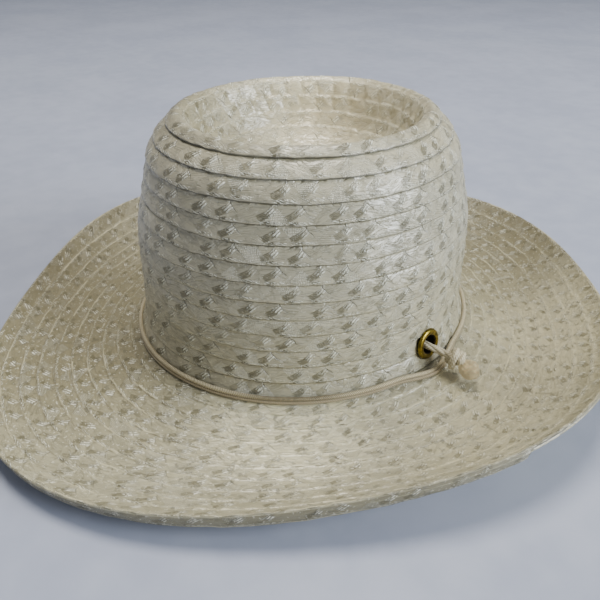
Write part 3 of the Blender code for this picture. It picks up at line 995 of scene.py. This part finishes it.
def chin_cord_route():
    """The chin cord's route from the right knot, round the inside of the crown, to the left knot."""
    share = np.linspace(0, 1, LAID_POINTS)
    angle = LAID_START + (LAID_END - LAID_START) * share
    half_width = LAID_WIDTH_FIRST + (LAID_WIDTH_LAST - LAID_WIDTH_FIRST) * share
    reach = oval_reach(angle, half_width + LAID_LONGER, half_width)
    laid = polar(angle, reach, CORD_DIAMETER / 2 + CLEARANCE / 2)
    right = np.array(CORD_END_ROUTE)
    left = right[::-1] * (-1, 1, 1)
    return smooth_curve(np.vstack([right, laid, left]))


def make_chin_cord(cord_material):
    route = evenly_spaced(chin_cord_route(), 0.0009)
    pieces = Pieces()
    add_strands(pieces, route, CORD_DIAMETER / 2, 4, CORD_LAY, 8, 0.0009)
    return pieces.build("chin_cord", [cord_material]), route


def knot_route():
    """An overhand knot about the X axis: in along it, round it, and out through the turns."""
    share = np.linspace(0, 1, 10)
    turn = np.radians(KNOT_TURN_START + 360 * KNOT_TURNS * share)
    wraps = [0.0027 - 0.0050 * share, KNOT_TURN_RADIUS * np.cos(turn), KNOT_TURN_RADIUS * np.sin(turn)]
    return smooth_curve(np.vstack([KNOT_LEAD, np.transpose(wraps), KNOT_WAY_OUT]), 8)


def make_knot(name, side, cord_material, tail_material):
    """The cord's overhand knot and its thick frayed end, along the CAD knot's axis."""
    step = 0.0001
    spine = evenly_spaced(smooth_curve(KNOT_ROUTE), step)
    start, middle = spine[0], spine[len(spine) * 2 // 5]
    axis = (middle - start) / np.linalg.norm(middle - start)
    across = np.cross(axis, (0.0, 0.0, 1.0))
    across /= np.linalg.norm(across)
    directions = np.array([axis, across, np.cross(across, axis)])
    centre = spine[round(len(spine) * 0.27)]
    path = (centre + knot_route() @ directions) * (side, 1, 1)
    pieces = Pieces()
    add_strands(pieces, path, CORD_DIAMETER / 2, 4, CORD_LAY, 8, 0.0006)
    add_tail(pieces, spine[-round(TAIL_LENGTH / step):] * (side, 1, 1), side)
    return pieces.build(name, [cord_material, tail_material])


def add_tail(pieces, spine, side):
    """The cord's frayed end: a thick soft bundle with fine fibres that lie along it and stick out of it."""
    draw = np.random.default_rng(11 + side)
    first, second = (direction[len(spine) // 2] for direction in carried_frames(spine))
    stations = np.linspace(0, 1, 22)
    reach = np.interp(stations, *zip(*TAIL_SECTIONS)) * TAIL_WIDTH / 2
    centres = along_curve(stations, np.linspace(0, 1, len(spine)), spine)
    firsts = np.tile(first, (len(stations), 1))
    seconds = np.tile(second, (len(stations), 1))
    bundle = tube_grid(centres, firsts, seconds, reach * 0.90, TAIL_SIDES)
    turn = np.arange(TAIL_SIDES) * 2 * math.pi / TAIL_SIDES
    ripple = 1 + 0.07 * np.cos(5 * turn[None] + 3 * stations[:, None]) + 0.05 * np.cos(9 * turn[None] + 1.0)
    bundle = centres[:, None] + (bundle - centres[:, None]) * ripple[:, :, None]
    pieces.tube(bundle, stations * 9, slot=1)
    for _ in range(TAIL_HAIRS):
        begin = draw.uniform(0.0, 0.75)
        share = np.linspace(begin, min(begin + draw.uniform(0.2, 0.5), 1.08), 5)
        angle = draw.uniform(0, 2 * math.pi) + draw.uniform(-0.5, 0.5) * (share - begin)
        lift = 0.94 + 0.14 * (share - begin) / (share[-1] - begin)
        away = (np.interp(share, stations, reach) * lift)[:, None]
        past = np.clip(share - 1, 0, None)[:, None] * (centres[-1] - centres[-2]) * len(stations)
        spot = along_curve(share, stations, centres) + past
        spot = spot + first * away * np.cos(angle)[:, None] + second * away * np.sin(angle)[:, None]
        pieces.tube(tube_grid(spot, firsts[:5], seconds[:5], HAIR_RADIUS, 4), share * 9, slot=1)


def band_push_share(angle):
    from_eyelet = np.clip(np.abs((angle + 90.0) % 180.0 - 90.0) / BAND_PUSH_HALF_ANGLE, 0, 1)
    return np.cos(np.pi / 2 * from_eyelet) ** 2


def make_band(upper_material, lower_material):
    """Two cords side by side round the crown's foot, laid out on the brim at the eyelets."""
    stations = 900
    angle = np.arange(stations + 1) * 360.0 / stations
    pushed = band_push_share(angle)
    tilt = np.radians(BAND_TILT) * pushed
    foot = foot_reach(angle)
    out = BAND_THICKNESS * 0.5
    radius = BAND_HEIGHT / 4
    centres = []
    for height in (0.30, 0.68):
        up = BAND_HEIGHT * height
        wall = crown_surface(up, 0.0, angle)
        flare = (np.hypot(wall[:, 0], wall[:, 1]) - foot) * (1 - pushed)
        reach = foot + ROW_STEP + CLEARANCE + BAND_PUSH * pushed + flare + 0.0006
        reach = reach + out * np.cos(tilt) - up * np.sin(tilt)
        centres.append((reach, out * np.sin(tilt) + up * np.cos(tilt)))
    lift = 0.0
    for reach, height in centres:
        share = np.clip((reach - foot) / (brim_reach(angle) - foot), 0, 1)
        lift = np.maximum(lift, brim_height(share, angle) + ROW_STEP + radius - height)
    pieces = Pieces()
    outward = polar(angle, np.cos(tilt), np.sin(tilt))
    upward = polar(angle, -np.sin(tilt), np.cos(tilt))
    for strand, (reach, height) in enumerate(centres):
        path = polar(angle, reach, height + lift)
        lengths = lengths_along(path)
        whole = round(lengths[-1] * 1000)
        thickness = (BAND_LOWER_RADIUS, BAND_UPPER_RADIUS)[strand]
        grid = tube_grid(path[:-1], outward[:-1], upward[:-1], thickness, 16)
        pieces.tube(grid, lengths / lengths[-1] * whole, slot=strand, closed=True)
    return pieces.build("hat_band", [lower_material, upper_material])


def eyelet_frame():
    """The right eyelet's middle on the crown, its axis, and how far off its front and back seats are."""
    goal = np.interp(EYELET_HEIGHT, CROWN_LINE[:CURVE_STEPS * 8, 2], CROWN_LENGTHS[:CURVE_STEPS * 8])
    below, point, above = (
        crown_surface(goal + shift, 0.0, 0.0)
        for shift in (-EYELET_WIDTH / 2, 0, EYELET_WIDTH / 2)
    )
    axis = np.array([above[2] - below[2], 0, below[0] - above[0]])
    axis /= np.linalg.norm(axis)
    seat = max(float((spot - point) @ axis) for spot in (below, point, above))
    sagitta = (EYELET_WASHER_WIDTH / 2) ** 2 / (2 * point[0])
    return point, axis, seat + ROW_STEP + CLEARANCE, WALL + sagitta + CLEARANCE


def make_eyelet(name, side, brass, throat):
    """Rolled brass eyelet: a round flange outside, a tube through the straw and a washer inside."""
    middle, axis, front, back = eyelet_frame()
    hole = EYELET_HOLE / 2
    tube = hole + EYELET_TUBE_WALL
    rim = EYELET_WIDTH / 2
    washer = EYELET_WASHER_WIDTH / 2
    dome = EYELET_DOME
    profile = [
        # along the axis, radius
        (-back - EYELET_WASHER * 0.5, hole),
        (-back - EYELET_WASHER, hole * 1.04),
        (-back - EYELET_WASHER, washer * 0.96),
        (-back - EYELET_WASHER * 0.7, washer),
        (-back - 0.0001, washer),
        (-back, washer * 0.96),
        (-back, tube),
        (front, tube),
        (front, rim * 0.985),
        (front + dome * 0.18, rim),
        (front + dome * 0.50, rim * 0.985),
        (front + dome * 0.78, rim * 0.935),
        (front + dome * 0.95, rim * 0.86),
        (front + dome * 1.00, rim * 0.78),
        (front + dome * 0.97, rim * 0.70),
        (front + dome * 0.84, hole * 1.14),
        (front + dome * 0.60, hole * 1.05),
        (front + dome * 0.20, hole * 1.01),
        (front - dome * 0.5, hole),
    ]
    throat_rings = (15, 16, 17, 18)
    sides = 56
    first = np.cross(axis, (0.0, 1.0, 0.0))
    second = np.cross(axis, first)
    turn = np.arange(sides) * 2 * math.pi / sides
    rings = [
        middle + axis * place + (first * np.cos(turn)[:, None] + second * np.sin(turn)[:, None]) * radius
        for place, radius in profile
    ]
    zero = np.zeros((len(profile), 2, sides + 1))
    made = wrapped_grid(name, np.array(rings) * (side, 1, 1), zero, zero)
    made.data.materials.append(brass)
    made.data.materials.append(throat)
    in_throat = [ring in throat_rings for ring in range(len(profile)) for _ in range(sides)]
    made.data.polygons.foreach_set("material_index", np.array(in_throat, np.int32))
    return made


def cut_eyelet_holes(crown):
    """Opens the straw round each eyelet's tube and joins its outer face to its inner one there."""
    middle, axis, _, _ = eyelet_frame()
    radius = (EYELET_HOLE / 2 + EYELET_TUBE_WALL + EYELET_WASHER_WIDTH / 2) / 2
    work = bmesh.new()
    work.from_mesh(crown.data)
    for side in SIDES_OF_HAT.values():
        spot = Vector(middle * (side, 1, 1))
        line = Vector(axis * (side, 1, 1))
        inside = []
        for vertex in work.verts:
            way = vertex.co - spot
            along = way.dot(line)
            if abs(along) < 0.006 and (way - line * along).length < radius:
                inside.append(vertex)
        bmesh.ops.delete(work, geom=inside, context="VERTS")
        rims = [edge for edge in work.edges if edge.is_boundary]
        bmesh.ops.bridge_loops(work, edges=rims)
    work.to_mesh(crown.data)
    work.free()


# Stage

def place_camera():
    data = bpy.data.cameras.new("camera")
    data.lens = CAMERA_LENS
    data.sensor_width = SENSOR_WIDTH
    camera = add_object("camera", data)
    pitch = math.radians(CAMERA_PITCH)
    level = Vector((*CAMERA_ACROSS_FLOOR, 0)).normalized()
    forward = level * math.cos(pitch) - Vector((0, 0, math.sin(pitch)))
    right = Vector((level.y, -level.x, 0))
    up = right.cross(forward)
    roll = math.radians(CAMERA_ROLL)
    right, up = right * math.cos(roll) + up * math.sin(roll), up * math.cos(roll) - right * math.sin(roll)
    turn = Matrix((right, up, -forward)).transposed()
    camera.matrix_world = Matrix.Translation(CAMERA_SPOT) @ turn.to_4x4()
    bpy.context.scene.camera = camera


def aim(name, data, spot, target):
    """Puts a lamp at a spot and turns it to a target."""
    lamp = add_object(name, data)
    lamp.location = spot
    lamp.rotation_euler = (Vector(target) - Vector(spot)).to_track_quat("-Z", "Y").to_euler()


def add_light(name, spot, target, size, power, colour):
    data = bpy.data.lights.new(name, "AREA")
    data.shape = "DISK"
    data.size = size
    data.energy = power
    data.color = colour
    aim(name, data, spot, target)


def add_dish_glow():
    """A narrow warm beam on the dish's far wall, for the daylight that comes through the straw."""
    data = bpy.data.lights.new("dish_glow", "SPOT")
    data.energy = 15.0
    data.color = (1.0, 0.88, 0.68)
    data.spot_size = math.radians(9.0)
    data.spot_blend = 1.0
    data.shadow_soft_size = 0.03
    aim("dish_glow", data, (0.42, -0.36, 0.62), (-0.020, 0.046, 0.106))


def make_stage():
    bpy.ops.mesh.primitive_circle_add(vertices=96, radius=4.0, fill_type="NGON", location=(0, 0, 0))
    floor = bpy.context.object
    floor.name = "floor"
    floor.data.materials.append(floor_material())
    world = bpy.data.worlds.new("soft_room")
    world.use_nodes = True
    sky = world.node_tree.nodes["Background"]
    sky.inputs["Color"].default_value = (0.80, 0.83, 0.90, 1.0)
    sky.inputs["Strength"].default_value = 0.35
    bpy.context.scene.world = world
    add_light("window", (1.9, 0.75, 0.85), (0, 0, 0.05), 1.3, 68.0, (0.88, 0.94, 1.0))
    add_light("ceiling", (-0.28, 0.26, 1.75), (0, 0, 0), 0.8, 31.0, (1.0, 0.96, 0.88))
    add_dish_glow()


def dress(piece, node):
    """Fixes a piece to the hat's one body and hides the CAD part that it stands for."""
    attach(piece, "root")
    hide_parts(node)


def add_cords():
    """The chin cord and its two knots."""
    cream = fibre_material("cord_cream", (0.66, 0.60, 0.44), (0.42, 0.36, 0.22), (0.9, 3.0), 0.5)
    cord, route = make_chin_cord(cream)
    fibre = ((1.0, 0.86, 0.54), (0.84, 0.68, 0.36), (0.5, 7.0))
    tail = fibre_material("tail_fibres", *fibre, 0.75, painted_glow=0.13)
    knots = [make_knot(f"knot_{name}", side, cream, tail) for name, side in SIDES_OF_HAT.items()]
    dress(cord, "chin_cord")
    for knot, name in zip(knots, SIDES_OF_HAT):
        dress(knot, f"knot_{name}")
    middle = eyelet_frame()[0]


def add_straw():
    """The crown in its two pieces, and the brim."""
    crown = make_crown()
    cut_eyelet_holes(crown)
    tip = make_crown_tip()
    crown_straw = braid_material("crown_straw", (0.465, 0.425, 0.285), CROWN_LOOK)
    for piece in (crown, tip):
        piece.data.materials.append(crown_straw)
        dress(piece, "crown")
    brim = make_brim()
    brim.data.materials.append(braid_material("brim_straw", (0.44, 0.40, 0.25), BRIM_LOOK))
    dress(brim, "brim")


def add_trim():
    """The band and the eyelets."""
    soil = ((0.10, 0.075, 0.035), BAND_SOIL_SPOT, BAND_SOIL_REACH)
    fibre = ((0.80, 0.71, 0.48), (0.26, 0.20, 0.09), (1.1, 5.0))
    herringbone = fibre_material("band_cord", *fibre, 0.45, soil, herringbone=True)
    satin = fibre_material("band_cord_lower", (0.42, 0.35, 0.22), (0.30, 0.24, 0.14), (0.9, 3.0), 0.5)
    dress(make_band(herringbone, satin), "hat_band")
    brass = brass_material()
    throat = throat_material()
    for name, side in SIDES_OF_HAT.items():
        eyelet = make_eyelet(f"eyelet_{name}_turned", side, brass, throat)
        dress(eyelet, f"eyelet_{name}")


place_camera()
add_cords()
add_straw()
add_trim()
make_stage()
